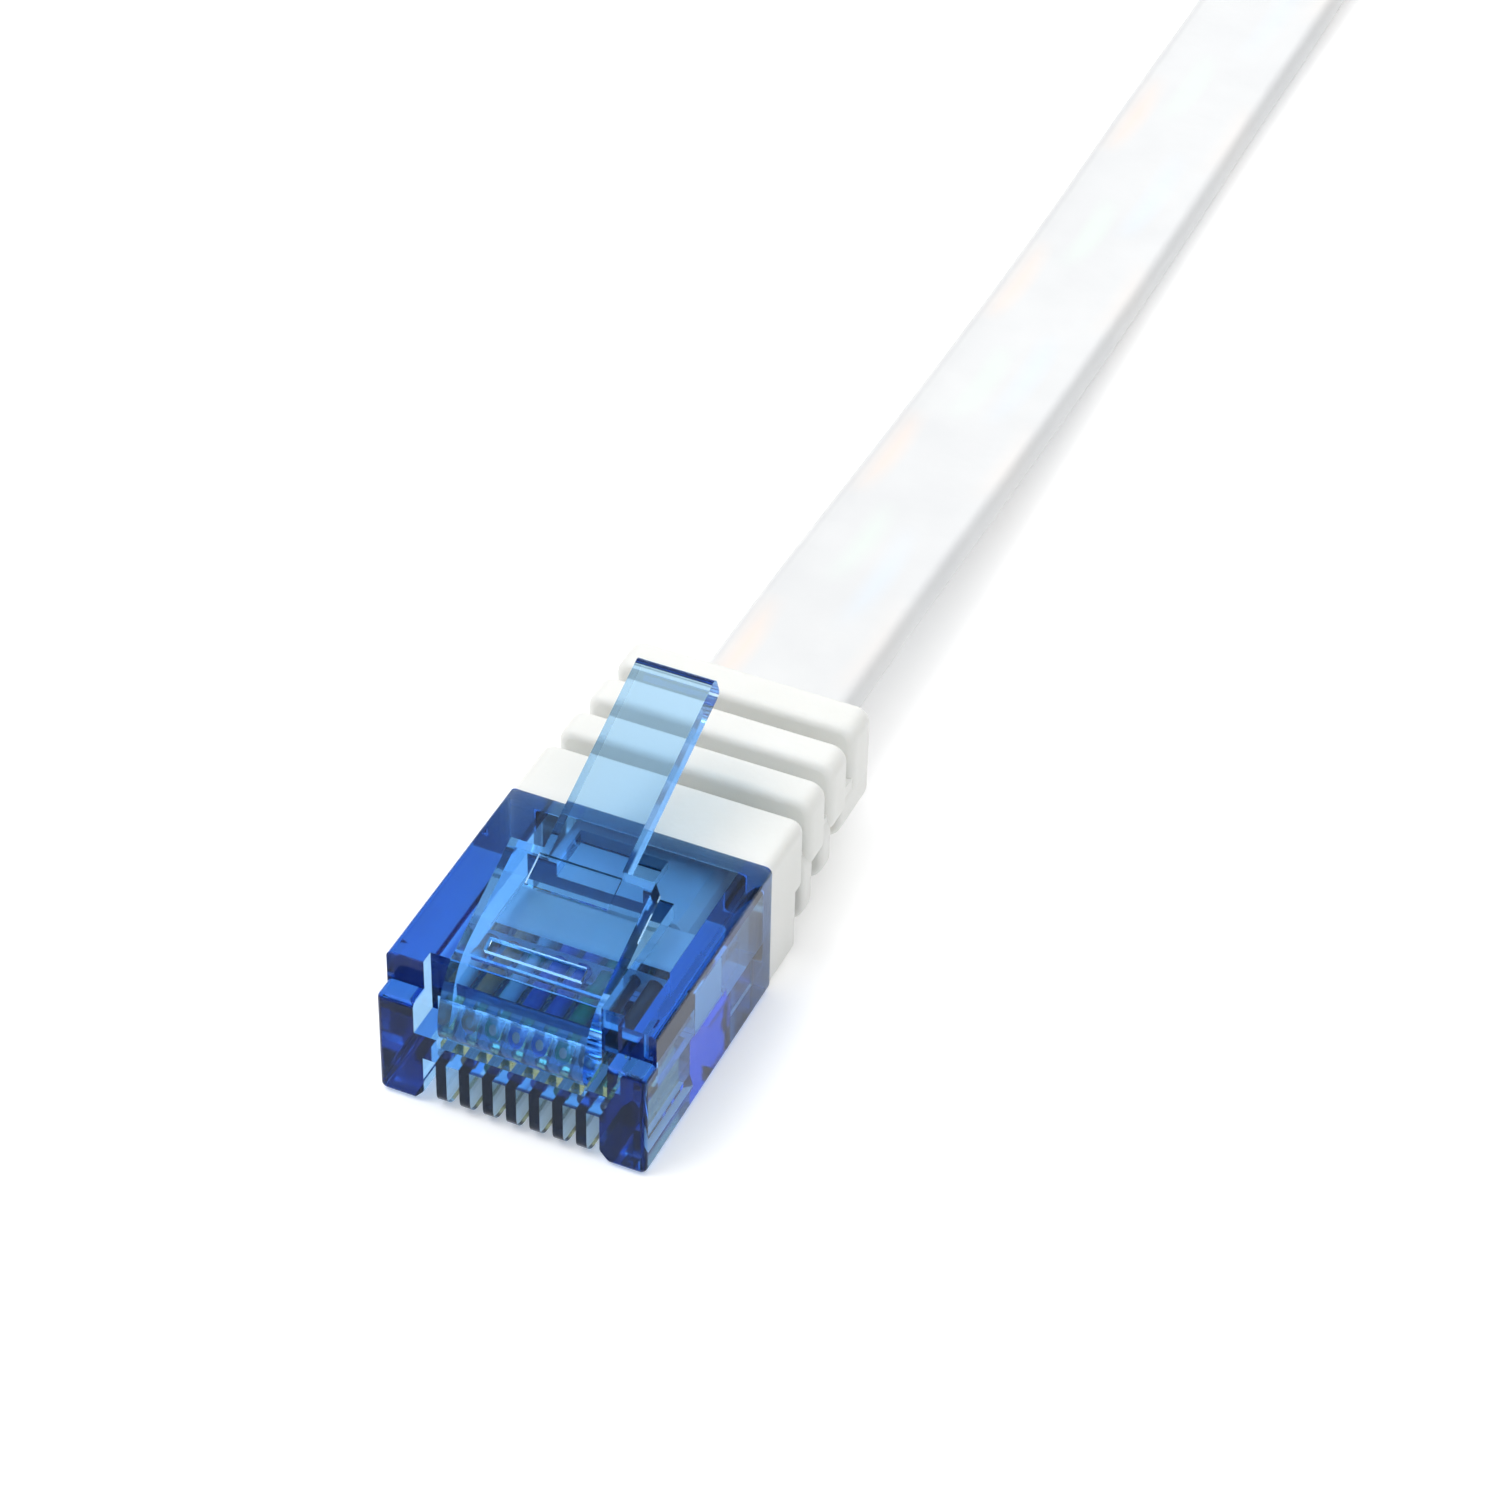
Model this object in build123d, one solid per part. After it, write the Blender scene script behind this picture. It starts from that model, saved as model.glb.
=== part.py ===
from build123d import *
import os
from math import cos, pi, radians, sin, tan

# Flat ethernet patch cable, about one metre from nose to nose: two 8-position modular plugs with
# strain-relief boots on a flat four-pair cable, whose spare length is wound into a tied hank.
#
# Frame: millimetres, +Z up. The origin is under the middle of the near plug and its boot, on the
# surface that the cable lies on. The near plug's nose points along -Y, its latch faces up, and the
# cable leaves it along +Y.

# ---- plug: lengths run from its nose, heights from its underside --------------------------------
PLUG_WIDTH = 11.68
PLUG_HEIGHT = 6.6
BODY_LENGTH = 11.8          # nose to boot
NOSE_LENGTH = 1.0
NOSE_HEIGHT = 5.15
TAIL_LENGTH = 3.0           # inside the boot
TAIL_WIDTH = 9.4
TAIL_LOW = 1.4
TAIL_HIGH = 5.2
BODY_ROUND = 0.3
CLEARANCE = 0.05

CONTACTS = 8
PITCH = 1.02
SLOT_WIDTH = 0.56
SLOT_HEIGHT = 2.4
SLOT_LENGTH = 5.4
SLOT_FLARE = 0.6            # bevel on the outer walls of the first and last slot
SLOT_LIP = 0.75             # round on the fins' front lower edge
BLADE_THICKNESS = 0.34
SLIT_START = 2.6            # the blades reach up into the wires through slits
SLIT_END = 4.65

WIRE_DIAMETER = 0.7
CORE_DIAMETER = 0.34
WIRE_HEIGHT = 3.3
WIRE_START = 2.35
WIRE_FAN_START = 8.2        # from here the wires close up towards the jacket
JACKET_PITCH = 0.8
JACKET_START = 8.9
CHAMBER_WIDTH = 8.3
CHAMBER_HEIGHT = 1.4
BAR_START = 5.7
BAR_LENGTH = 2.5
BAR_LOW = 2.55
CAVITY_START = 5.6
CAVITY_WIDTH = 8.5
CAVITY_LOW = 2.1            # under the jacket
CAVITY_HIGH = 4.8
CLAMP_WIDTH = 6.6
CLAMP_START = 9.7
CLAMP_END = 11.7

HINGE_Y = 0.95              # where the latch's root bends
HINGE_Z = 4.2
ROOT_RADIUS = 0.93
LATCH_WIDTH = 6.3
LEVER_WIDTH = 3.4
LATCH_THICKNESS = 1.2
LATCH_SLOPE = 21.5          # degrees
SHOULDER_Y = 6.62           # top edge of the two stop shoulders
SHOULDER_Z = 9.0
LEVER_LENGTH = 9.3          # shoulders to the lever's tip

COLLAR_END = 15.1
BOOT_END = 22.8
RIB_PITCH = 2.5
RIB_GAP = 0.85
RIB_TAPER = 0.12            # each rib is narrower than the one before it, on each side
RIB_ROUND = 0.38
LOWER_SLOTS = (14.85, 17.05, 19.25)
LOWER_SLOT_WIDTH = 1.2
BELT_LOW = 2.9              # the unbroken belt between upper and lower slots
BELT_HIGH = 4.2
CORE_HALF_WIDTH = 4.7
CORE_LOW = 1.9
CORE_HIGH = 5.0

# ---- cable --------------------------------------------------------------------------------------
CABLE_WIDTH = 6.8
CABLE_THICKNESS = 1.6
CABLE_BEVEL = 0.42
CABLE_HEIGHT = 3.3          # middle of the cable where it leaves a boot

NOSE_Y = -BOOT_END / 2      # the near plug's nose
LAYERS = 3
LAYER_PITCH = 2.45
HANK_LOW = 0.5              # the tie passes under the cable
HANK_OUTER = 21.0           # hank's middle line to its outermost layer
HANK_NEAR_Y = 116.0
HANK_FAR_Y = 193.2
LEAD_X = -1.0
HANK_X = LEAD_X - HANK_OUTER
TAIL_X = LEAD_X - LAYERS * LAYER_PITCH
FAR_BOOT_Y = 175.0          # where the cable enters the far boot
TIE_Y = 150.0
TIE_WIDTH = 9.0
TIE_THICKNESS = 0.45

# Route of the flat lead: level out of the boot, then down onto the surface.
LEAD = [(0.0, BOOT_END / 2, 3.3), (0.0, 20.4, 3.3), (-0.3, 36.4, 1.9), (-0.7, 54.4, 0.85),
        (-1.0, 70.0, 0.85), (-1.0, 80.0, 0.85)]
# From here it rolls up on edge: x, y, z and the roll about the cable's length in degrees.
LEAD_ROLL = [(LEAD_X, 80.0, 0.85, 0), (LEAD_X, 86.0, 1.75, 13), (LEAD_X, 92.0, 2.65, 32), (LEAD_X, 98.0, 3.35, 52),
             (LEAD_X, 105.0, 3.75, 72), (LEAD_X, 111.0, 3.9, 86), (LEAD_X, HANK_NEAR_Y, 3.9, 90)]
# Inside the hank it rolls flat again on its way to the far boot.
TAIL_ROLL = [(TAIL_X, HANK_NEAR_Y, 3.9, 90), (TAIL_X - 0.6, 124.0, 3.9, 87), (-10.9, 132.0, 3.85, 74),
             (-13.9, 140.0, 3.7, 54), (-17.1, 148.0, 3.5, 34), (-19.9, 156.0, 3.35, 15), (-21.6, 164.0, 3.3, 3),
             (HANK_X, 170.0, 3.3, 0), (HANK_X, FAR_BOOT_Y, 3.3, 0)]

COLOURS = ["white_orange", "orange", "white_green", "blue", "white_blue", "green", "white_brown", "brown"]


def block(x0, x1, y0, y1, z0, z1):
    """A plain box between two corners."""
    return Pos((x0 + x1) / 2, (y0 + y1) / 2, (z0 + z1) / 2) * Box(x1 - x0, y1 - y0, z1 - z0)


def slab(half_width, y0, y1, z0, z1):
    """A box that lies evenly across the middle plane x = 0."""
    return block(-half_width, half_width, y0, y1, z0, z1)


def side_profile(points, width):
    """A closed outline of (y, z) points, as thick as width, evenly across the middle plane."""
    outline = make_face(Polyline(*[(0, y, z) for y, z in points], close=True))
    return extrude(outline, width / 2, dir=(1, 0, 0), both=True)


def cross_rod(y, z, radius, length):
    """A round rod that lies across the plug."""
    return Pos(0, y, z) * Rot(0, 90, 0) * Cylinder(radius, length)


def lane_x(number, pitch=PITCH):
    """Middle of a contact's lane; the first is on -X while the latch faces up."""
    return (number - (CONTACTS - 1) / 2) * pitch


# ---- the plug, with its nose at y = 0 -------------------------------------------------------------
def make_housing():
    """Moulded body: stepped nose, comb of contact slots, wire chamber, jacket cavity, latch seat."""
    half = PLUG_WIDTH / 2
    main = slab(half, NOSE_LENGTH, BODY_LENGTH, 0, PLUG_HEIGHT)
    main = fillet(main.edges().filter_by(Axis.Y), BODY_ROUND)
    nose = slab(half, 0, 2 * NOSE_LENGTH, 0, NOSE_HEIGHT)
    nose = fillet(nose.edges().filter_by(Axis.Y), BODY_ROUND)
    nose = fillet(nose.faces().sort_by(Axis.Y)[0].edges(), 0.8 * BODY_ROUND)
    tail = slab(TAIL_WIDTH / 2, BODY_LENGTH - 1, BODY_LENGTH + TAIL_LENGTH, TAIL_LOW, TAIL_HIGH)
    tail = fillet(tail.edges().filter_by(Axis.Y), BODY_ROUND)
    return main + nose + tail - latch_seat() - contact_comb() - wire_way()


def latch_seat():
    """Room for the latch's root in the nose, and for the pressed latch in the plug's top."""
    half = LATCH_WIDTH / 2 + CLEARANCE
    over = PLUG_HEIGHT + 1
    seat = slab(half, -1, HINGE_Y, HINGE_Z - ROOT_RADIUS, over)
    seat += cross_rod(HINGE_Y, HINGE_Z, ROOT_RADIUS + CLEARANCE, 2 * half)
    seat += slab(half, HINGE_Y - 0.5, HINGE_Y + 1.2, HINGE_Z, over)
    seat += slab(half, HINGE_Y - 0.5, HINGE_Y + 2.1, HINGE_Z + 0.65, over)
    seat += slab(half, HINGE_Y + 1, SHOULDER_Y + 1.6, NOSE_HEIGHT + 0.15, over)
    seat += slab(LEVER_WIDTH / 2 + 0.2, SHOULDER_Y, SHOULDER_Y + 3.8, PLUG_HEIGHT - 0.7, over)
    for side in (-1, 1):
        pocket = Pos(side * (half + 0.5), 0.6, NOSE_HEIGHT) * Box(1.0, 2.0, 3.0)
        seat += pocket
    return seat


def contact_comb():
    """Eight slots that open forwards and downwards, and the slits from them into the wire chamber."""
    cut = slab(CONTACTS / 2 * PITCH - 0.2, -1, SLOT_LIP, -1, SLOT_LIP)
    cut -= cross_rod(SLOT_LIP, SLOT_LIP, SLOT_LIP, 2 * PLUG_WIDTH)
    for number in range(CONTACTS):
        x = lane_x(number)
        slot_half = SLOT_WIDTH / 2
        slit_half = BLADE_THICKNESS / 2 + CLEARANCE
        cut += block(x - slot_half, x + slot_half, -1, SLOT_LENGTH, -1, SLOT_HEIGHT)
        cut += block(x - slit_half, x + slit_half, SLIT_START, SLIT_END, 1, WIRE_HEIGHT)
    inner = (CONTACTS - 1) / 2 * PITCH + SLOT_WIDTH / 2
    for side in (-1, 1):
        corners = [(side * (inner - 0.1), 0, -0.1), (side * (inner + SLOT_FLARE), 0, -0.1), (side * inner, 0, SLOT_FLARE),
                   (side * (inner - 0.1), 0, SLOT_FLARE)]
        cut += extrude(make_face(Polyline(*corners, close=True)), SLOT_LENGTH, dir=(0, 1, 0))
    return cut


def wire_way():
    """Flat chamber for the wires, flaring into the cavity for the jacket, and the clamp's window."""
    low, high = WIRE_HEIGHT - CHAMBER_HEIGHT / 2, WIRE_HEIGHT + CHAMBER_HEIGHT / 2
    end = BODY_LENGTH + TAIL_LENGTH + 1
    way = slab(CHAMBER_WIDTH / 2, WIRE_START - 0.1, CAVITY_START + 0.5, low, high)
    way += slab(CAVITY_WIDTH / 2, CAVITY_START, end, BAR_LOW, CAVITY_HIGH)
    way += slab(CAVITY_WIDTH / 2, JACKET_START - 0.3, end, CAVITY_LOW, CAVITY_HIGH)
    way += slab(CLAMP_WIDTH / 2 + CLEARANCE, CLAMP_START - CLEARANCE, CLAMP_END + CLEARANCE, -1, CAVITY_LOW + 0.5)
    return way


def make_clamp():
    """Wedge that is crushed up against the jacket when the plug is crimped on."""
    top = CABLE_HEIGHT - CABLE_THICKNESS / 2 - 0.03
    outline = [(CLAMP_START, 0.15), (CLAMP_END, 0.15), (CLAMP_END, top), (CLAMP_END - 0.8, top),
               (CLAMP_START, 1.5)]
    return side_profile(outline, CLAMP_WIDTH)


def make_load_bar():
    """Comb that holds the eight wires side by side behind the contacts."""
    bar = slab(CAVITY_WIDTH / 2 - CLEARANCE, BAR_START, BAR_START + BAR_LENGTH,
               BAR_LOW + CLEARANCE, CAVITY_HIGH - CLEARANCE)
    bar = fillet(bar.edges().filter_by(Axis.X), 0.3)
    for number in range(CONTACTS):
        hole = Rot(90, 0, 0) * Cylinder(WIRE_DIAMETER / 2 + 0.04, 3 * BAR_LENGTH)
        bar -= Pos(lane_x(number), BAR_START, WIRE_HEIGHT) * hole
    return bar


def make_contact(number):
    """Gold-plated blade: its lower edge meets the jack's spring, its two teeth pierce the wire."""
    shoulder, tip = 2.7, 3.3
    outline = [(1.3, 1.3), (1.8, 0.8), (4.6, 0.8), (4.6, shoulder), (4.35, tip), (4.05, shoulder),
               (3.25, shoulder), (2.95, tip), (2.7, shoulder), (2.7, 2.25), (1.3, 2.25)]
    return Pos(lane_x(number), 0, 0) * side_profile(outline, BLADE_THICKNESS)


def strand(number, diameter):
    """Round bar along one wire's path, from behind the nose to the jacket's cut end."""
    start, bend = (lane_x(number), WIRE_START, WIRE_HEIGHT), (lane_x(number), WIRE_FAN_START, WIRE_HEIGHT)
    end = (lane_x(number, JACKET_PITCH), JACKET_START, CABLE_HEIGHT)
    section = Plane(start, z_dir=(0, 1, 0)) * Circle(diameter / 2)
    turned = sweep(section, path=Polyline(start, bend, end), transition=Transition.RIGHT)
    return turned & slab(PLUG_WIDTH, 0, JACKET_START, 0, PLUG_HEIGHT)


def make_wire(number):
    """Insulation of one wire, pierced by its contact and hollow for its copper."""
    return strand(number, WIRE_DIAMETER) - strand(number, CORE_DIAMETER) - make_contact(number)


def make_cores():
    """The eight copper conductors."""
    return Compound([strand(number, CORE_DIAMETER) - make_contact(number) for number in range(CONTACTS)])


def make_latch():
    """Sprung latch: root across the nose, wide part with two stop shoulders, narrow lever."""
    along = Vector(0, cos(radians(LATCH_SLOPE)), sin(radians(LATCH_SLOPE)))
    inward = Vector(0, along.Z, -along.Y) * LATCH_THICKNESS
    shoulder = Vector(0, SHOULDER_Y, SHOULDER_Z)
    hinge = Vector(0, HINGE_Y, HINGE_Z)
    neck, under_neck = shoulder - along * 5.7, shoulder - along * 4.6 + inward
    front, back = hinge - Vector(0, ROOT_RADIUS, 0), hinge + Vector(0, ROOT_RADIUS, 0)
    edges = [ThreePointArc(front, hinge + Vector(0, -0.62, 1.45), neck), Line(neck, shoulder),
             Line(shoulder, shoulder + inward * 1.02), Line(shoulder + inward * 1.02, under_neck),
             ThreePointArc(under_neck, hinge + Vector(0, 1.02, 0.95), back), Line(back, front)]
    wide = extrude(make_face(Wire(edges)), LATCH_WIDTH / 2, dir=(1, 0, 0), both=True)
    wide += cross_rod(HINGE_Y, HINGE_Z, ROOT_RADIUS, LATCH_WIDTH)
    # the lever and the two dips in the top are boxes in a frame that lies along the latch's top
    top = Plane(shoulder, x_dir=(1, 0, 0), z_dir=-inward).location
    lever = top * slab(LEVER_WIDTH / 2, -1, LEVER_LENGTH, -LATCH_THICKNESS, 0)
    lever = fillet(lever.edges().filter_by(Axis.X).sort_by(Axis.Y)[-2:], 0.3)
    pad = top * slab(LEVER_WIDTH / 2 + 0.1, -1.7, -0.25, -0.2, 1)
    groove = top * slab(2.1, -4.9, -4.3, -0.4, 1)
    return wide + lever - pad - groove


def rounded_slab(half_width, y0, y1, z0, z1, corner, edge):
    """A slab with round corners seen along Y, and softened front and rear edges."""
    shape = slab(half_width, y0, y1, z0, z1)
    shape = fillet(shape.edges().filter_by(Axis.Y), corner)
    return fillet(shape.faces().sort_by(Axis.Y)[0].edges() + shape.faces().sort_by(Axis.Y)[-1].edges(), edge)


def make_boot():
    """Flexible strain relief: collar over the plug's tail, then ribs, with slots above and below in turn."""
    half = PLUG_WIDTH / 2
    collar = slab(half, BODY_LENGTH, LOWER_SLOTS[0] - LOWER_SLOT_WIDTH / 2, 0, PLUG_HEIGHT)
    collar = fillet(collar.edges().filter_by(Axis.Y), 0.55)
    collar_top = rounded_slab(half, BODY_LENGTH + 1, COLLAR_END, BELT_LOW, PLUG_HEIGHT, 0.55, RIB_ROUND)
    boot = collar + collar_top
    # upper ribs
    for rib in range(3):
        y0 = COLLAR_END + RIB_GAP + rib * RIB_PITCH
        y1 = BOOT_END if rib == 2 else y0 + RIB_PITCH - RIB_GAP
        boot += rounded_slab(half - 0.1 - RIB_TAPER * rib, y0, y1, BELT_LOW, PLUG_HEIGHT, 0.7, RIB_ROUND)
    # lower ribs, between the lower slots; the underside rises towards the cable
    for rib, slot in enumerate(LOWER_SLOTS):
        y0 = slot + LOWER_SLOT_WIDTH / 2
        y1 = BOOT_END if rib == 2 else LOWER_SLOTS[rib + 1] - LOWER_SLOT_WIDTH / 2
        low = 0.35 + 0.5 * rib
        boot += rounded_slab(half - 0.15 - RIB_TAPER * rib, y0, y1, low, BELT_HIGH, 1.1, 0.25)
    # core and belt
    boot += slab(CORE_HALF_WIDTH, BODY_LENGTH + 1, BOOT_END - 0.3, CORE_LOW, CORE_HIGH)
    boot += slab(half - 0.45, BODY_LENGTH + 1, BOOT_END - 0.5, BELT_LOW + 0.2, BELT_HIGH - 0.2)
    # socket for the plug's tail, and the way through for the cable
    boot -= slab(TAIL_WIDTH / 2 + CLEARANCE, BODY_LENGTH - 1, BODY_LENGTH + TAIL_LENGTH + CLEARANCE,
                 TAIL_LOW - CLEARANCE, TAIL_HIGH + CLEARANCE)
    boot -= slab(CABLE_WIDTH / 2 + CLEARANCE, BODY_LENGTH - 1, BOOT_END + 1,
                 CABLE_HEIGHT - CABLE_THICKNESS / 2 - CLEARANCE, CABLE_HEIGHT + CABLE_THICKNESS / 2 + CLEARANCE)
    return boot


# ---- the cable -------------------------------------------------------------------------------------
def cable_section(point, heading, roll):
    """Cross-section of the flat jacket: at roll 0 its width is level."""
    heading = Vector(heading)
    level = heading.cross(Vector(0, 0, 1)).normalized()
    across = level.rotate(Axis((0, 0, 0), heading), roll)
    outline = chamfer(Rectangle(CABLE_WIDTH, CABLE_THICKNESS).vertices(), CABLE_BEVEL)
    return Plane(point, x_dir=across, z_dir=heading) * outline


def make_lead():
    """Flat lead, swept along straight runs joined by arcs as large as the runs allow."""
    points = [Vector(*point) for point in LEAD]
    radii = []
    for before, corner, after in zip(points, points[1:], points[2:]):
        first, second = corner - before, after - corner
        turn = radians(first.get_angle(second))
        radii.append(0.45 * min(first.length, second.length) / tan(turn / 2))
    print("lead's arc radii, mm:", [round(radius) for radius in radii])
    path = FilletPolyline(*points, radius=radii)
    lead = sweep(cable_section(points[0], points[1] - points[0], 0), path=path)
    print("lead's volume against section times length:", round(lead.volume),
          round(cable_section((0, 0, 0), (0, 1, 0), 0).area * path.length))
    return lead


def make_rolled(route, first_heading):
    """Cable that turns about its own length: straight-sided steps between sections along the route."""
    points = [Vector(x, y, z) for x, y, z, roll in route]
    sections = []
    for index, point in enumerate(points):
        heading = points[min(index + 1, len(points) - 1)] - points[max(index - 1, 0)]
        if index == 0:
            heading = first_heading
        if index == len(points) - 1:
            heading = Vector(0, 1, 0)
        sections.append(cable_section(point, heading, route[index][3]))
    return loft(sections, ruled=True)


def make_hank():
    """Outer shape of the wound layers: a ring with two straight sides, one layer wider where it begins."""
    step, half = LAYER_PITCH / 4, CABLE_THICKNESS / 2
    outer = half + HANK_OUTER
    inner = HANK_OUTER - (LAYERS - 1) * LAYER_PITCH - half
    faces = []
    for near_x, x in ((outer - LAYER_PITCH, outer), (inner - LAYER_PITCH, inner)):
        left = x - 2 * step
        y0, y1 = HANK_NEAR_Y, HANK_FAR_Y
        far_top = (HANK_X + step, y1 + x - step)
        near_bottom = (HANK_X - step, y0 - (near_x + step))
        edges = [Line((HANK_X + near_x, y0), (HANK_X + x, y0)), Line((HANK_X + x, y0), (HANK_X + x, y1)),
                 ThreePointArc((HANK_X + x, y1), far_top, (HANK_X - left, y1)),
                 Line((HANK_X - left, y1), (HANK_X - left, y0)),
                 ThreePointArc((HANK_X - left, y0), near_bottom, (HANK_X + near_x, y0))]
        faces.append(make_face(Wire(edges)))
    return Pos(0, 0, HANK_LOW) * extrude(faces[0] - faces[1], CABLE_WIDTH)


def make_tie():
    """Hook-and-loop strap round the hank's layers, on the side away from the lead."""
    half = CABLE_THICKNESS / 2
    outside = HANK_X - (HANK_OUTER - LAYER_PITCH / 2 + half)
    inside = HANK_X - (HANK_OUTER - (LAYERS - 1) * LAYER_PITCH - LAYER_PITCH / 2 - half)
    high = HANK_LOW + CABLE_WIDTH
    y0, y1 = TIE_Y - TIE_WIDTH / 2, TIE_Y + TIE_WIDTH / 2
    gap, wall = CLEARANCE, TIE_THICKNESS
    strap = block(outside - gap - wall, inside + gap + wall, y0, y1, 0, high + gap + wall)
    strap = fillet(strap.edges().filter_by(Axis.Y), 0.4)
    strap += block(outside + 0.5, inside - 0.5, y0, y1, high + gap + wall / 2, high + gap + 2 * wall)
    return strap - block(outside - gap, inside + gap, y0 - 1, y1 + 1, HANK_LOW - gap, high + gap)


# ---- assembly ----------------------------------------------------------------------------------------
def save(shape, node):
    """Write one sub-part in its place."""
    export_step(shape, f"parts/{node}.step")


def save_plug(prefix, place):
    """Write every piece of one plug."""
    pieces = {"housing": make_housing(), "latch": make_latch(), "boot": make_boot(), "load_bar": make_load_bar(),
              "cord_clamp": make_clamp(), "copper_cores": make_cores()}
    for number, colour in enumerate(COLOURS):
        pieces[f"contact_{number + 1}"] = make_contact(number)
        pieces[f"wire_{number + 1}_{colour}"] = make_wire(number)
    for name, piece in pieces.items():
        save(place * piece, f"{prefix}_{name}")


def plug_jacket():
    """The jacket inside a plug and its boot."""
    middle = CABLE_HEIGHT
    section = cable_section((0, JACKET_START, middle), (0, 1, 0), 0)
    return extrude(section, BOOT_END - JACKET_START, dir=(0, 1, 0))


os.makedirs("parts", exist_ok=True)
near_place = Pos(0, NOSE_Y, 0)
far_place = Pos(HANK_X, FAR_BOOT_Y + BOOT_END, 0) * Rot(0, 0, 180)
save_plug("near", near_place)
save_plug("far", far_place)
save(near_place * plug_jacket(), "near_jacket_end")
save(far_place * plug_jacket(), "far_jacket_end")
save(make_lead(), "cable_lead")
save(make_rolled(LEAD_ROLL, Vector(0, 1, 0)), "cable_lead_roll")
save(make_hank(), "cable_hank")
save(make_rolled(TAIL_ROLL, Vector(0, 1, 0)), "cable_tail_roll")
save(make_tie(), "hank_tie")
turns = LAYERS * 2 * (HANK_FAR_Y - HANK_NEAR_Y)
turns += sum(pi * (HANK_OUTER - LAYER_PITCH * (index / 2 + 0.25)) for index in range(2 * LAYERS))
print("cable in the hank, mm:", round(turns))
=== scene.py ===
import bmesh
import bpy
from math import cos, pi, radians, sin
from mathutils import Matrix, Vector


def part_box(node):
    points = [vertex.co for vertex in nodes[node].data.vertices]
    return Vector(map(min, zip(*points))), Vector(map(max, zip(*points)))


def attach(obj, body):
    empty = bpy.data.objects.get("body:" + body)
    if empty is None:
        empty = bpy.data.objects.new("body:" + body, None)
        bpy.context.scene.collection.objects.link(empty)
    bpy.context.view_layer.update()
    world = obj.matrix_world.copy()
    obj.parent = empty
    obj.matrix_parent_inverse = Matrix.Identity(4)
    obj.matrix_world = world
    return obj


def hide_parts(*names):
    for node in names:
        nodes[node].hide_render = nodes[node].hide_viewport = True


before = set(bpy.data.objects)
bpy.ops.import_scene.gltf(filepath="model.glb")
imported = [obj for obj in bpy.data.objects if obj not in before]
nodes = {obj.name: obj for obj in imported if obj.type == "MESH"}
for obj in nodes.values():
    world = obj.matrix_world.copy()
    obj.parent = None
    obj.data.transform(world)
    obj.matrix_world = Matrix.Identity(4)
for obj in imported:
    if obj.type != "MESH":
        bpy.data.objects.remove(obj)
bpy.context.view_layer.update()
ROOT = "patch_cable"
MM = 0.001

# ---- camera: the photograph's view ----------------------------------------------------------------
AZIMUTH, ELEVATION, ROLL = radians(23.57), radians(40.2), radians(1.19)
DISTANCE = 201.08 * MM
TARGET = Vector((-1.1, 13.85, 0.0)) * MM
LENS, SENSOR = 111.5, 36.0


def make_camera():
    """Looks at TARGET from the given side and height, rolled a little about its own line of sight."""
    back = Vector((sin(AZIMUTH) * cos(ELEVATION), -cos(AZIMUTH) * cos(ELEVATION), sin(ELEVATION)))
    level = Vector((cos(AZIMUTH), sin(AZIMUTH), 0))
    upright = back.cross(level)
    right = level * cos(ROLL) + upright * sin(ROLL)
    up = upright * cos(ROLL) - level * sin(ROLL)
    data = bpy.data.cameras.new("camera")
    data.lens, data.sensor_width = LENS, SENSOR
    data.clip_start = 0.01
    camera = bpy.data.objects.new("camera", data)
    turn = Matrix((right, up, back)).transposed().to_4x4()
    camera.matrix_world = Matrix.Translation(TARGET + back * DISTANCE) @ turn
    bpy.context.collection.objects.link(camera)
    bpy.context.scene.camera = camera


# ---- cable route, in millimetres: the same points as the CAD model --------------------------------
CABLE_WIDTH, CABLE_THICKNESS = 6.8, 1.6
CABLE_CORNER = 0.62         # radius of the section's corners
LAYERS, LAYER_PITCH = 3, 2.45
HANK_OUTER, HANK_NEAR_Y, HANK_FAR_Y = 21.0, 116.0, 193.2
LEAD_X = -1.0
HANK_X = LEAD_X - HANK_OUTER
HANK_Z = 3.9
HANK_ROLL = 90              # the wound cable stands on its edge
TAIL_X = LEAD_X - LAYERS * LAYER_PITCH
FAR_BOOT_Y = 175.0
LEAD = [(0.0, 11.4, 3.3), (0.0, 20.4, 3.3), (-0.3, 36.4, 1.9), (-0.7, 54.4, 0.85), (-1.0, 70.0, 0.85)]
# x, y, z and the roll about the cable's own length, in degrees
LEAD_ROLL = [
    (LEAD_X, 80.0, 0.85, 0), (LEAD_X, 86.0, 1.75, 13), (LEAD_X, 92.0, 2.65, 32), (LEAD_X, 98.0, 3.35, 52),
    (LEAD_X, 105.0, 3.75, 72), (LEAD_X, 111.0, 3.9, 86), (LEAD_X, HANK_NEAR_Y, 3.9, 90)]
TAIL_ROLL = [
    (TAIL_X, HANK_NEAR_Y, 3.9, 90), (TAIL_X - 0.6, 124.0, 3.9, 87), (-10.9, 132.0, 3.85, 74),
    (-13.9, 140.0, 3.7, 54), (-17.1, 148.0, 3.5, 34), (-19.9, 156.0, 3.35, 15), (-21.6, 164.0, 3.3, 3),
    (HANK_X, 170.0, 3.3, 0), (HANK_X, FAR_BOOT_Y, 3.3, 0)]
LEAD_ENDS, TAIL_LENGTH = 110.0, 70.0    # along the cable: where the hank begins, and what follows it
STRAIGHT_POINTS = 5
STRAIGHT_MARGIN = 5.0       # from a straight run's end point to the half turn
ARC_POINTS = 6              # on each half turn


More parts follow.
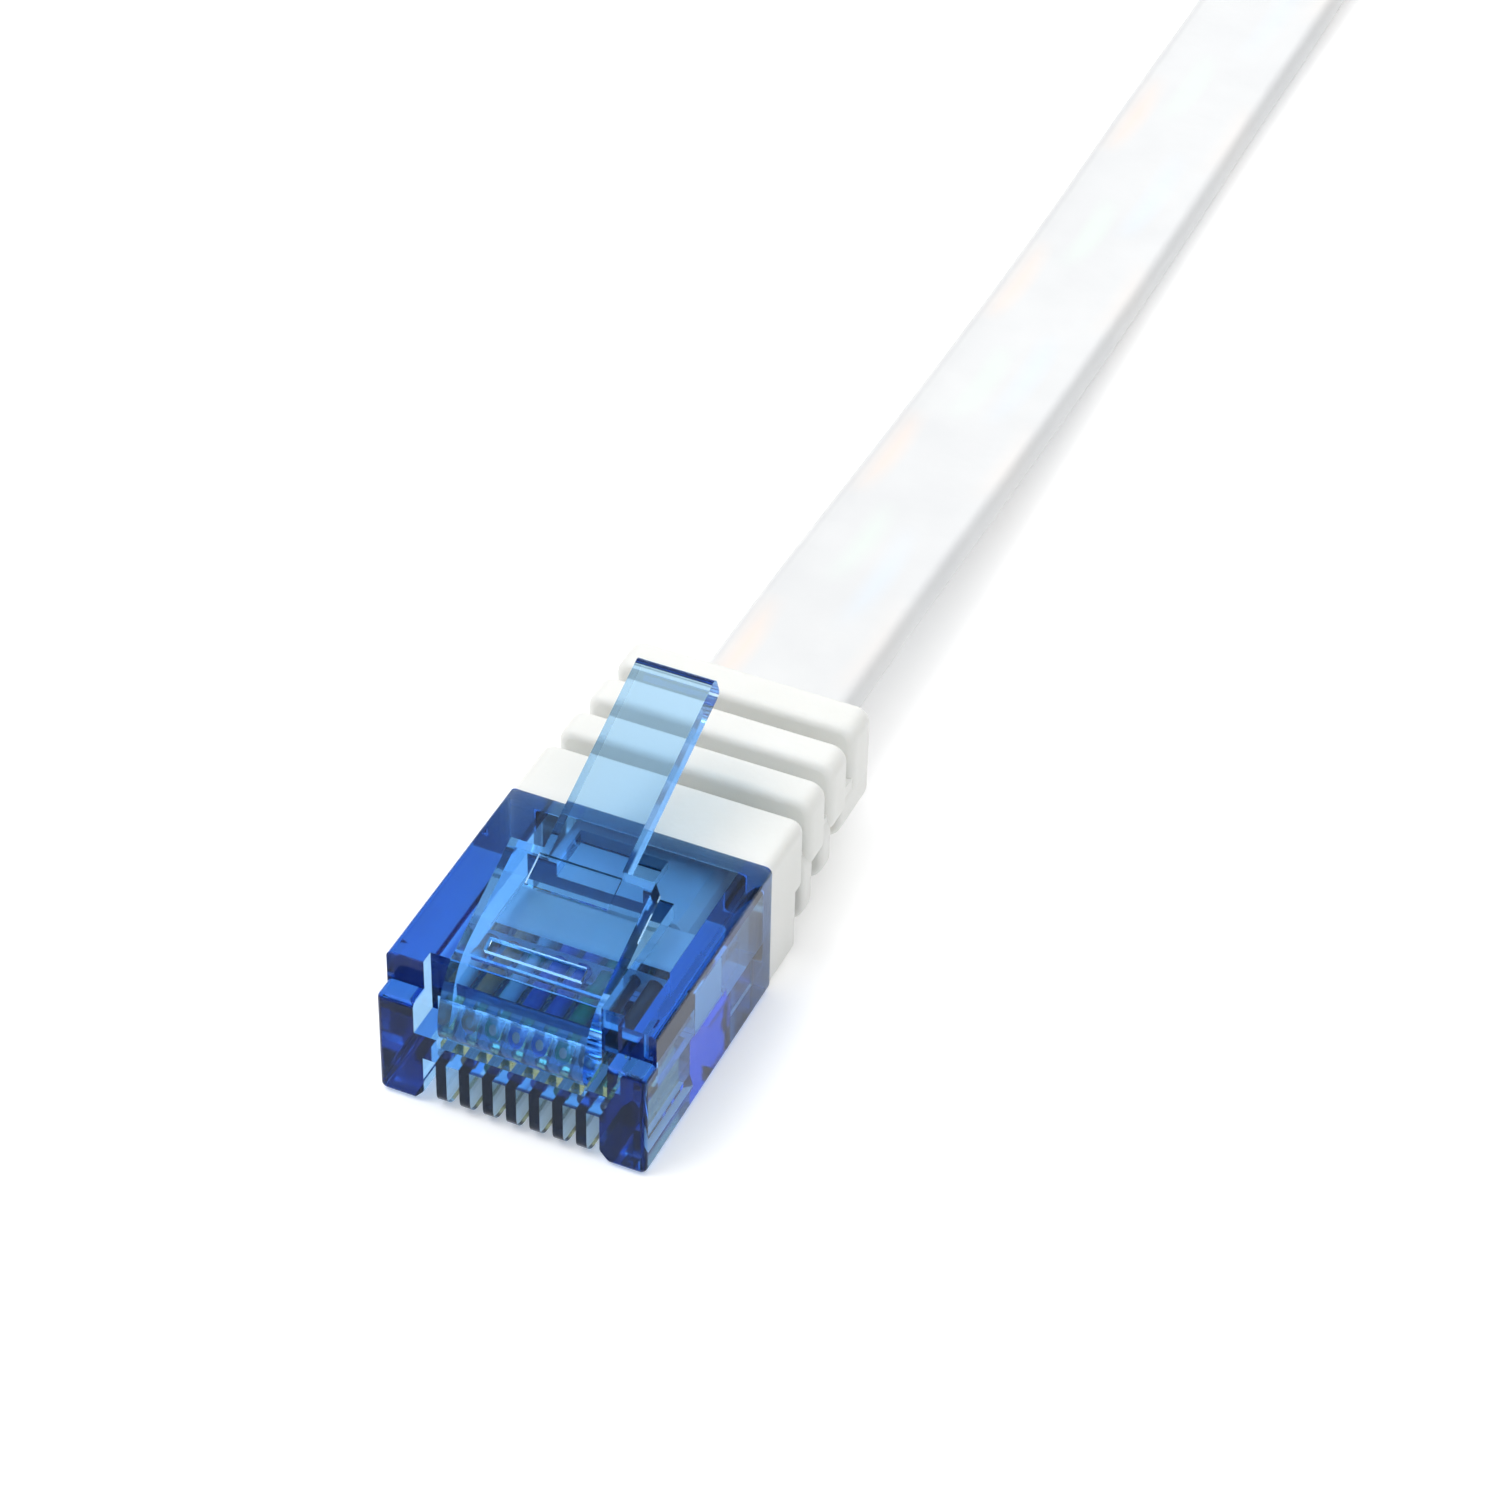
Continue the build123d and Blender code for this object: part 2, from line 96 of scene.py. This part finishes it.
def hank_points():
    """Control points of the wound layers: each half turn closes in by half a layer."""
    points = []
    step = pi / ARC_POINTS
    run = HANK_FAR_Y - HANK_NEAR_Y - 2 * STRAIGHT_MARGIN
    for half_turn in range(2 * LAYERS):
        side = 1 if half_turn % 2 == 0 else -1
        offset = HANK_OUTER - half_turn * LAYER_PITCH / 2
        radius = offset - LAYER_PITCH / 4
        start_y = HANK_NEAR_Y + STRAIGHT_MARGIN if side > 0 else HANK_FAR_Y - STRAIGHT_MARGIN
        for index in range(STRAIGHT_POINTS):
            y = start_y + side * run * index / (STRAIGHT_POINTS - 1)
            points.append((HANK_X + side * offset, y, HANK_Z))
        centre = (HANK_X + side * LAYER_PITCH / 4, HANK_FAR_Y if side > 0 else HANK_NEAR_Y)
        for index in range(ARC_POINTS):
            angle = (index + 0.5) * step + (0 if side > 0 else pi)
            reach = radius / cos(step / 2)
            points.append((centre[0] + reach * cos(angle), centre[1] + reach * sin(angle), HANK_Z))
    return points


def spline_points(route):
    """Points along the smooth NURBS line whose control points are the route's."""
    curve = bpy.data.curves.new("route", "CURVE")
    curve.dimensions = "3D"
    curve.resolution_u = 10
    spline = curve.splines.new("NURBS")
    spline.points.add(len(route) - 1)
    for point, place in zip(spline.points, route):
        point.co = (*(Vector(place) * MM), 1)
    spline.order_u = 3
    spline.use_endpoint_u = True
    holder = bpy.data.objects.new("route", curve)
    mesh = bpy.data.meshes.new_from_object(holder)
    points = [vertex.co.copy() for vertex in mesh.vertices]
    bpy.data.objects.remove(holder)
    bpy.data.curves.remove(curve)
    bpy.data.meshes.remove(mesh)
    return points


def blend_between(value, table):
    """Amount at a place, on straight lines between (place, amount) pairs in rising order."""
    if value <= table[0][0]:
        return table[0][1]
    for (place0, amount0), (place1, amount1) in zip(table, table[1:]):
        if value <= place1:
            return amount0 + (amount1 - amount0) * (value - place0) / (place1 - place0)
    return table[-1][1]


def cable_rolls(points):
    """Roll of the flat cable at each point, in radians, and each point's place along the cable."""
    lead_table = [(y * MM, radians(roll)) for x, y, z, roll in LEAD_ROLL]
    tail_table = [(y * MM, radians(roll)) for x, y, z, roll in TAIL_ROLL]
    lengths = [0.0]
    for before, after in zip(points, points[1:]):
        lengths.append(lengths[-1] + (after - before).length)
    tail_from = lengths[-1] - TAIL_LENGTH * MM
    rolls = []
    for point, travelled in zip(points, lengths):
        if travelled < LEAD_ENDS * MM:
            rolls.append(blend_between(point.y, lead_table))
        elif travelled > tail_from:
            rolls.append(blend_between(point.y, tail_table))
        else:
            rolls.append(radians(HANK_ROLL))
    smoothing_sweeps = 4
    for sweep in range(smoothing_sweeps):
        inner = [(a + 2 * b + c) / 4 for a, b, c in zip(rolls, rolls[1:], rolls[2:])]
        rolls = [rolls[0]] + inner + [rolls[-1]]
    return rolls, lengths


def cable_outline():
    """Flat section with round corners: (across, normal) pairs in millimetres, once round."""
    reach_x, reach_z = CABLE_WIDTH / 2 - CABLE_CORNER, CABLE_THICKNESS / 2 - CABLE_CORNER
    corner_steps, face_pitch = 4, 0.7
    across_face = [face_pitch * index for index in (3, 2, 1, 0, -1, -2, -3)]
    outline = []
    for side_x, side_z, start in ((1, 1, 0), (-1, 1, 90), (-1, -1, 180), (1, -1, 270)):
        for index in range(corner_steps + 1):
            angle = radians(start + 90 / corner_steps * index)
            outline.append((side_x * reach_x + CABLE_CORNER * cos(angle),
                            side_z * reach_z + CABLE_CORNER * sin(angle)))
        if side_x == side_z:
            outline += [(side_x * x, side_z * CABLE_THICKNESS / 2) for x in across_face]
    return outline


def ring_mesh(name, rings, closed=False):
    """A skin over rings of points, one ring after the other; open ends are capped."""
    count = len(rings[0])
    vertices = [tuple(point) for ring in rings for point in ring]
    faces = []
    for index in range(len(rings) if closed else len(rings) - 1):
        a, b = index * count, (index + 1) % len(rings) * count
        faces += [(a + k, a + (k + 1) % count, b + (k + 1) % count, b + k) for k in range(count)]
    if not closed:
        faces += [tuple(range(count))[::-1], tuple(len(vertices) - count + k for k in range(count))]
    mesh = bpy.data.meshes.new(name)
    mesh.from_pydata(vertices, [], faces)
    work = bmesh.new()
    work.from_mesh(mesh)
    bmesh.ops.recalc_face_normals(work, faces=work.faces)
    work.to_mesh(mesh)
    work.free()
    mesh.polygons.foreach_set("use_smooth", [True] * len(mesh.polygons))
    return mesh


def new_piece(name, mesh, material, body):
    """Puts a mesh into the scene as a piece that moves with a body."""
    piece = bpy.data.objects.new(name, mesh)
    bpy.context.collection.objects.link(piece)
    mesh.materials.append(material)
    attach(piece, body)
    return piece


def make_strap(material):
    """Hook-and-loop strap round the layers: a closed band, and its free end pressed down on top."""
    low, high = (Vector(corner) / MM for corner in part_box("hank_tie"))
    clear, floor_clear, top_clear = 0.05, 0.02, 0.08
    middle_y, half_width = (low.y + high.y) / 2, (high.y - low.y) / 2 - clear
    thick, edge, corner = 0.42, 0.08, 0.9
    section = [(-half_width, edge), (edge - half_width, 0), (half_width - edge, 0), (half_width, edge),
               (half_width, thick - edge), (half_width - edge, thick),
               (edge - half_width, thick), (-half_width, thick - edge)]
    x0, x1 = low.x + thick + clear, high.x - thick - clear
    z0, z1 = low.z + thick + floor_clear, high.z - 2 * thick - top_clear
    stations = []
    for centre_x, centre_z, start in ((x1, z1, 0), (x0, z1, 90), (x0, z0, 180), (x1, z0, 270)):
        pull_x = -corner if centre_x == x1 else corner
        pull_z = -corner if centre_z == z1 else corner
        centre = Vector((centre_x + pull_x, middle_y, centre_z + pull_z))
        for index in range(7):
            angle = radians(start + 15 * index)
            outward = Vector((cos(angle), 0, sin(angle)))
            stations.append((centre + outward * corner, outward))
    rings = [[(place + Vector((0, v, 0)) + outward * t) * MM for v, t in section]
             for place, outward in stations]
    band = ring_mesh("hank_strap", rings, closed=True)
    steps, end_inset, end_squeeze, seam = 8, 0.7, 0.55, 0.01
    rings = []
    for index in range(steps + 1):
        x = x0 + end_inset + (x1 - x0 - 2 * end_inset) * index / steps
        squeeze = end_squeeze if index in (0, steps) else 1.0
        narrow = 0.6 + 0.4 * squeeze
        base = Vector((x, middle_y, z1 + thick + seam))
        rings.append([(base + Vector((0, v * narrow, t * squeeze))) * MM for v, t in section])
    work = bmesh.new()
    work.from_mesh(band)
    work.from_mesh(ring_mesh("strap_end", rings))
    work.to_mesh(band)
    work.free()
    strap = new_piece("hank_strap", band, material, ROOT)
    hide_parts("hank_tie")
    return strap


def make_cable(material, strap):
    """The whole flat cable as one skin along its route, with its place and width kept on each point."""
    route = LEAD + [point[:3] for point in LEAD_ROLL] + hank_points() + [point[:3] for point in TAIL_ROLL]
    points = spline_points(route)
    rolls, lengths = cable_rolls(points)
    outline = cable_outline()
    rings, along, across = [], [], []
    for index, point in enumerate(points):
        heading = points[min(index + 1, len(points) - 1)] - points[max(index - 1, 0)]
        heading.normalize()
        level = heading.cross(Vector((0, 0, 1))).normalized()
        under = heading.cross(level)
        width_way = level * cos(rolls[index]) + under * sin(rolls[index])
        thick_way = width_way.cross(heading)
        rings.append([point + width_way * (u * MM) + thick_way * (v * MM) for u, v in outline])
        along += [lengths[index] / MM] * len(outline)
        across += [u for u, v in outline]
    mesh = ring_mesh("cable", rings)
    for name, values in (("along", along), ("across", across)):
        mesh.attributes.new(name, "FLOAT", "POINT").data.foreach_set("value", values)
    cable = new_piece("cable", mesh, material, ROOT)
    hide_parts("cable_lead", "cable_lead_roll", "cable_hank", "cable_tail_roll")
    print("cable length, m:", round(lengths[-1], 4))


# ---- materials -----------------------------------------------------------------------------------
def new_material(name):
    """A node material: itself, its node tree and its shader."""
    material = bpy.data.materials.new(name)
    material.use_nodes = True
    tree = material.node_tree
    return material, tree, tree.nodes["Principled BSDF"]


def add(tree, kind, **settings):
    """A new node of a kind, with its settings."""
    node = tree.nodes.new(kind)
    for key, value in settings.items():
        setattr(node, key, value)
    return node


def calculate(tree, operation, first, second=None, clamp=False):
    """A Math node on sockets or plain numbers; returns its output."""
    node = add(tree, "ShaderNodeMath", operation=operation, use_clamp=clamp)
    for socket, value in zip(node.inputs, (first, second)):
        if value is None:
            continue
        if isinstance(value, (int, float)):
            socket.default_value = value
        else:
            tree.links.new(value, socket)
    return node.outputs[0]


def object_noise(tree, scale, detail=3.0, stretch=(1, 1, 1)):
    """Noise fixed to the object; scale is in features per metre."""
    coords = add(tree, "ShaderNodeTexCoord")
    mapping = add(tree, "ShaderNodeMapping")
    mapping.inputs["Scale"].default_value = stretch
    noise = add(tree, "ShaderNodeTexNoise")
    noise.inputs["Scale"].default_value = scale
    noise.inputs["Detail"].default_value = detail
    tree.links.new(coords.outputs["Object"], mapping.inputs["Vector"])
    tree.links.new(mapping.outputs["Vector"], noise.inputs["Vector"])
    return noise.outputs["Fac"]


def ramp(tree, factor, *stops):
    """Colour ramp; each stop is (place, colour)."""
    node = add(tree, "ShaderNodeValToRGB")
    elements = node.color_ramp.elements
    while len(elements) < len(stops):
        elements.new(0.5)
    for element, (place, colour) in zip(elements, stops):
        element.position = place
        element.color = (*colour, 1) if len(colour) == 3 else colour
    tree.links.new(factor, node.inputs["Fac"])
    return node.outputs["Color"]


def add_bump(tree, shader, height, strength, distance):
    bump = add(tree, "ShaderNodeBump")
    bump.inputs["Strength"].default_value = strength
    bump.inputs["Distance"].default_value = distance
    tree.links.new(height, bump.inputs["Height"])
    tree.links.new(bump.outputs["Normal"], shader.inputs["Normal"])


def scaled(tree, value, low, high):
    """A value from 0 to 1 spread between low and high."""
    node = add(tree, "ShaderNodeMapRange")
    node.inputs["To Min"].default_value = low
    node.inputs["To Max"].default_value = high
    tree.links.new(value, node.inputs["Value"])
    return node.outputs["Result"]


def polycarbonate(name, tint, absorption, density):
    """Clear moulded plastic, tinted through its thickness; faint flow marks in its polish."""
    material, tree, shader = new_material(name)
    shader.inputs["Base Color"].default_value = (*tint, 1)
    shader.inputs["Transmission Weight"].default_value = 0.99
    shader.inputs["IOR"].default_value = 1.36
    shader.inputs["Specular IOR Level"].default_value = 0.15
    shader.inputs["Specular Tint"].default_value = (0.22, 0.42, 0.95, 1)
    flow = object_noise(tree, 420, 2, (1, 0.35, 1))
    tree.links.new(scaled(tree, flow, 0.02, 0.09), shader.inputs["Roughness"])
    add_bump(tree, shader, object_noise(tree, 300, 2, (1, 0.5, 1)), 0.12, 0.0001)
    volume = add(tree, "ShaderNodeVolumeAbsorption")
    volume.inputs["Color"].default_value = (*absorption, 1)
    volume.inputs["Density"].default_value = density
    tree.links.new(volume.outputs["Volume"], tree.nodes["Material Output"].inputs["Volume"])
    return material


def frosted_plastic():
    """Milky polycarbonate of the load bar, a little uneven where it was gated."""
    material, tree, shader = new_material("clear_polycarbonate")
    tint = ramp(tree, object_noise(tree, 350, 3), (0.3, (0.86, 0.87, 0.88)), (0.75, (0.93, 0.93, 0.93)))
    tree.links.new(tint, shader.inputs["Base Color"])
    tree.links.new(scaled(tree, object_noise(tree, 900, 2), 0.3, 0.45), shader.inputs["Roughness"])
    add_bump(tree, shader, object_noise(tree, 1200, 2), 0.15, 0.00005)
    return material


def boot_elastomer():
    """White thermoplastic elastomer: satin, very slightly warm in places, with a fine moulded grain."""
    material, tree, shader = new_material("boot_elastomer")
    tint = ramp(tree, object_noise(tree, 180, 4), (0.3, (0.735, 0.745, 0.72)), (0.75, (0.79, 0.795, 0.775)))
    tree.links.new(tint, shader.inputs["Base Color"])
    tree.links.new(scaled(tree, object_noise(tree, 900, 3), 0.42, 0.58), shader.inputs["Roughness"])
    shader.inputs["Subsurface Weight"].default_value = 0.25
    shader.inputs["Subsurface Radius"].default_value = (0.0012, 0.0011, 0.001)
    shader.inputs["Subsurface Scale"].default_value = 1.0
    add_bump(tree, shader, object_noise(tree, 4200, 4), 0.25, 0.00005)
    return material


# each twisted pair: its place across the cable, its phase, its lay in millimetres, and its colour
PAIRS = [(-2.55, 0.0, 17.0, (0.93, 0.70, 0.56)), (-0.85, 2.1, 15.0, (0.72, 0.86, 0.76)),
         (0.85, 4.0, 18.5, (0.66, 0.78, 0.90)), (2.55, 5.2, 16.0, (0.80, 0.73, 0.68))]


def cable_jacket(use_lanes):
    """White PVC, through which the four twisted pairs show as faint smudges of their colours; painted darker
    on the cable (painted shade) and lighter on the jacket end inside the plug (painted light).
    """
    material, tree, shader = new_material("cable_jacket" if use_lanes else "jacket_end")
    # Painted light and shade: one white PVC in two shades, darker for the cable outside the plug and lighter
    # for the jacket end inside it, where the lighter colour stands in for the light that the blue housing
    # keeps from it.
    if use_lanes:
        dark, light = (0.68, 0.69, 0.70), (0.72, 0.73, 0.735)
    else:
        dark, light = (0.86, 0.87, 0.88), (0.92, 0.92, 0.92)
    colour = ramp(tree, object_noise(tree, 260, 3), (0.3, dark), (0.75, light))
    if use_lanes:
        wander, half_lane, strongest = 0.3, 0.8, 0.75
        along = add(tree, "ShaderNodeAttribute", attribute_name="along").outputs["Fac"]
        across = add(tree, "ShaderNodeAttribute", attribute_name="across").outputs["Fac"]
        patches = object_noise(tree, 110, 2)
        for lane, phase, period, tint in PAIRS:
            turn = calculate(tree, "MULTIPLY_ADD", along, 2 * pi / period)
            turn.node.inputs[2].default_value = phase
            wave = calculate(tree, "SINE", turn)
            drift = calculate(tree, "MULTIPLY_ADD", wave, wander)
            drift.node.inputs[2].default_value = lane
            distance = calculate(tree, "ABSOLUTE", calculate(tree, "SUBTRACT", across, drift))
            apart = calculate(tree, "DIVIDE", distance, half_lane)
            near = calculate(tree, "SUBTRACT", 1.0, apart, clamp=True)
            shown = calculate(tree, "MULTIPLY", near, calculate(tree, "MAXIMUM", wave, 0.0))
            strength = calculate(tree, "MULTIPLY", patches, strongest)
            amount = calculate(tree, "MULTIPLY", shown, strength, clamp=True)
            mix = add(tree, "ShaderNodeMix", data_type="RGBA")
            tree.links.new(amount, mix.inputs["Factor"])
            tree.links.new(colour, mix.inputs["A"])
            mix.inputs["B"].default_value = (*tint, 1)
            colour = mix.outputs["Result"]
    tree.links.new(colour, shader.inputs["Base Color"])
    tree.links.new(scaled(tree, object_noise(tree, 700, 3), 0.34, 0.5), shader.inputs["Roughness"])
    shader.inputs["Subsurface Weight"].default_value = 0.2
    shader.inputs["Subsurface Radius"].default_value = (0.0008, 0.0008, 0.0008)
    shader.inputs["Subsurface Scale"].default_value = 1.0
    add_bump(tree, shader, object_noise(tree, 1500, 3), 0.2, 0.00005)
    return material


def metal(name, dark, light, roughness):
    """Plated or drawn metal with fine lengthwise scratches."""
    material, tree, shader = new_material(name)
    tint = ramp(tree, object_noise(tree, 2500, 3, (1, 0.2, 1)), (0.3, dark), (0.7, light))
    tree.links.new(tint, shader.inputs["Base Color"])
    shader.inputs["Metallic"].default_value = 1.0
    polish = scaled(tree, object_noise(tree, 5000, 3), roughness - 0.07, roughness + 0.08)
    tree.links.new(polish, shader.inputs["Roughness"])
    return material


def insulation(name, main, stripe):
    """Extruded polyethylene; a white wire has blotches of its mate's colour."""
    material, tree, shader = new_material(name)
    tint = ramp(tree, object_noise(tree, 500, 1, (1, 0.6, 1)), (0.44, main), (0.5, stripe))
    tree.links.new(tint, shader.inputs["Base Color"])
    shader.inputs["Roughness"].default_value = 0.38
    add_bump(tree, shader, object_noise(tree, 3000, 2), 0.15, 0.00005)
    return material


def strap_fabric():
    """Hook-and-loop strap: matted loops, rough and pale grey."""
    material, tree, shader = new_material("strap_fabric")
    fibres = object_noise(tree, 3500, 5)
    tint = ramp(tree, fibres, (0.3, (0.42, 0.43, 0.44)), (0.7, (0.66, 0.67, 0.68)))
    tree.links.new(tint, shader.inputs["Base Color"])
    shader.inputs["Roughness"].default_value = 0.9
    shader.inputs["Sheen Weight"].default_value = 0.4
    add_bump(tree, shader, fibres, 0.8, 0.0003)
    return material


WHITE = (0.85, 0.84, 0.8)
HUES = {"orange": (0.85, 0.26, 0.03), "green": (0.03, 0.3, 0.08),
        "blue": (0.03, 0.1, 0.5), "brown": (0.2, 0.07, 0.03)}
LIGHTER = 1.15              # how much lighter a coloured wire is in places


def dress_nodes():
    """Gives every CAD node its material."""
    blue = polycarbonate("plug_polycarbonate", (0.77, 0.92, 1.0), (0.0, 0.54, 0.97), 330)
    milky = frosted_plastic()
    boot = boot_elastomer()
    gold = metal("contact_gold", (0.78, 0.52, 0.18), (0.92, 0.68, 0.3), 0.25)
    copper = metal("copper", (0.75, 0.33, 0.18), (0.9, 0.48, 0.3), 0.3)
    # the jacket end inside each plug: the lighter copy of the jacket, with painted light
    jacket_end = cable_jacket(False)
    dress = {"housing": blue, "latch": blue, "cord_clamp": blue, "load_bar": milky, "boot": boot,
             "copper_cores": copper, "jacket_end": jacket_end}
    for name, hue in HUES.items():
        dress[name] = insulation("insulation_" + name, hue, tuple(LIGHTER * part for part in hue))
        dress["white_" + name] = insulation("insulation_white_" + name, WHITE, hue)
    for name, node in nodes.items():
        side, kind = name.split("_", 1)
        if side not in ("near", "far"):
            continue
        if kind.startswith("contact"):
            material = gold
        elif kind.startswith("wire"):
            material = dress[kind.split("_", 2)[2]]
        else:
            material = dress[kind]
        for material_slot in node.material_slots:
            material_slot.material = material


# ---- floor and light -----------------------------------------------------------------------------
def make_floor():
    """White studio floor, a hair under the cable, that glows a little so that it stays white."""
    reach, level = 1.5, -0.0001
    corners = [(-reach, -reach, level), (reach, -reach, level), (reach, reach, level), (-reach, reach, level)]
    mesh = bpy.data.meshes.new("floor")
    mesh.from_pydata(corners, [], [(0, 1, 2, 3)])
    floor = bpy.data.objects.new("floor", mesh)
    bpy.context.collection.objects.link(floor)
    material, tree, shader = new_material("floor")
    shader.inputs["Base Color"].default_value = (0.9, 0.9, 0.9, 1)
    shader.inputs["Roughness"].default_value = 0.9
    shader.inputs["Specular IOR Level"].default_value = 0.1
    shader.inputs["Emission Color"].default_value = (1, 1, 1, 1)
    shader.inputs["Emission Strength"].default_value = 0.22
    mesh.materials.append(material)


def area_light(name, place, aim, size, power):
    """Round soft light that points at a place."""
    data = bpy.data.lights.new(name, "AREA")
    data.shape, data.size, data.energy = "DISK", size, power
    light = bpy.data.objects.new(name, data)
    light.location = place
    light.rotation_euler = (Vector(aim) - Vector(place)).to_track_quat("-Z", "Y").to_euler()
    bpy.context.collection.objects.link(light)


def make_light():
    """Pale overhead studio light that is dim near the horizon, and two soft lamps."""
    world = bpy.data.worlds.new("studio")
    bpy.context.scene.world = world
    world.use_nodes = True
    tree = world.node_tree
    coords = add(tree, "ShaderNodeTexCoord")
    split = add(tree, "ShaderNodeSeparateXYZ")
    tree.links.new(coords.outputs["Generated"], split.inputs[0])
    horizon, low_sky, zenith = (0.05, 0.055, 0.06), (0.16, 0.165, 0.17), (1.42, 1.42, 1.42)
    sky = ramp(tree, split.outputs["Z"], (0.0, horizon), (0.35, low_sky), (0.8, zenith))
    tree.links.new(sky, tree.nodes["Background"].inputs["Color"])
    tree.nodes["Background"].inputs["Strength"].default_value = 0.9
    near_plug = (0, 0.03, 0)
    area_light("key", (-0.3, -0.2, 0.7), near_plug, 0.45, 2.4)
    area_light("back", (-0.1, 0.75, 0.35), near_plug, 0.4, 1.2)
    bpy.context.scene.view_settings.view_transform = "Standard"


make_camera()
make_cable(cable_jacket(True), make_strap(strap_fabric()))
dress_nodes()
make_floor()
make_light()
